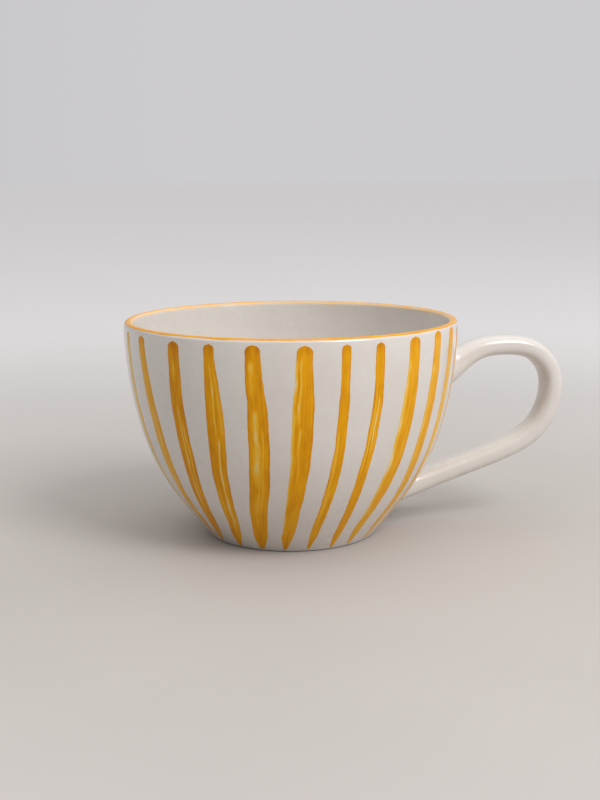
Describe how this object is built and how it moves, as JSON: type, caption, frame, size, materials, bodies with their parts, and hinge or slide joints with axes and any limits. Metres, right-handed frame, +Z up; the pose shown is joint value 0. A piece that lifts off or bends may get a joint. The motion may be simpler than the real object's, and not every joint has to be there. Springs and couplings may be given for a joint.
{
  "type": "ceramic mug",
  "caption": "Wide round-bellied ceramic mug with a loop handle, white glaze, an ochre painted rim and brushed upright ochre stripes, for hot drinks.",
  "frame": {"origin": "on the bowl's axis, in the plane of the flat foot ring that it stands on", "axes": "+Z up along the bowl's axis, +X towards the handle"},
  "size_m": [0.1506, 0.1101, 0.072],
  "materials": {
    "bare_clay": "fired, unglazed, fine grained",
    "joining_slip": "fired slip",
    "white_glaze": "warm white gloss glaze",
    "ochre_pigment": "brushed ochre pigment melted into the glaze"
  },
  "bodies": {
    "root": {"cup_body": "bare_clay", "handle": "bare_clay", "lower_slip_joint": "joining_slip", "upper_slip_joint": "joining_slip", "outside_glaze": "white_glaze", "inside_glaze": "white_glaze", "underside_glaze": "white_glaze", "handle_glaze": "white_glaze", "rim_band": "ochre_pigment", "painted_stripes": "ochre_pigment"}
  },
  "joints": []
}
